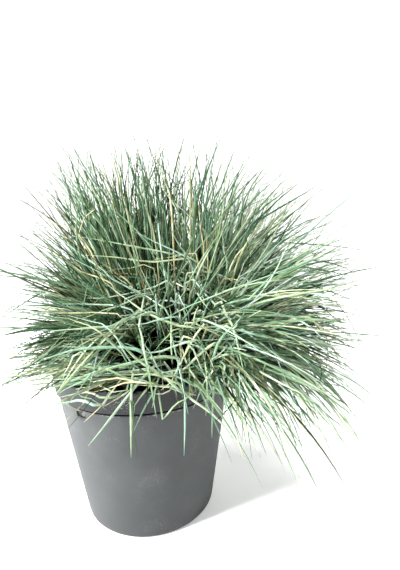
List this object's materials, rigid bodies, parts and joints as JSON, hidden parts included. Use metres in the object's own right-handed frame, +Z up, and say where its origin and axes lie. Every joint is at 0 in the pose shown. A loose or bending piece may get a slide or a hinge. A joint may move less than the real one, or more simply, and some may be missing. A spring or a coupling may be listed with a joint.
{
  "type": "potted blue fescue clump",
  "caption": "Dense tufted ornamental grass with blue-green needle leaves, growing in a round dark grey plastic nursery pot.",
  "frame": {"origin": "middle of the pot's underside, on the surface it stands on", "axes": "+Z up the pot's axis, -Y towards the front that the picture shows, +X to the right seen from the front"},
  "size_m": [0.2706, 0.2923, 0.287],
  "materials": {
    "pot_plastic": "matt moulded plastic, dark grey, a little dusty",
    "potting_mix": "rough dark peat with bark and a little white perlite",
    "leaf": "waxy matt blue-green leaf, paler where it catches light, straw at some tips"
  },
  "bodies": {
    "root": {"pot": "pot_plastic", "potting_mix": "potting_mix", "tuft_01": "leaf", "tuft_02": "leaf", "tuft_03": "leaf", "tuft_04": "leaf", "tuft_05": "leaf", "tuft_06": "leaf", "tuft_07": "leaf", "tuft_08": "leaf", "tuft_09": "leaf", "tuft_10": "leaf", "tuft_11": "leaf", "tuft_12": "leaf", "tuft_13": "leaf", "tuft_14": "leaf", "tuft_15": "leaf", "tuft_16": "leaf", "tuft_17": "leaf", "tuft_18": "leaf", "tuft_19": "leaf", "tuft_20": "leaf", "tuft_21": "leaf", "tuft_22": "leaf", "tuft_23": "leaf", "tuft_24": "leaf", "tuft_25": "leaf", "tuft_26": "leaf", "tuft_27": "leaf", "tuft_28": "leaf", "tuft_29": "leaf", "tuft_30": "leaf", "tuft_31": "leaf", "tuft_32": "leaf", "tuft_33": "leaf", "tuft_34": "leaf", "tuft_35": "leaf", "tuft_36": "leaf", "tuft_37": "leaf", "tuft_38": "leaf", "tuft_39": "leaf", "tuft_40": "leaf"}
  },
  "joints": []
}
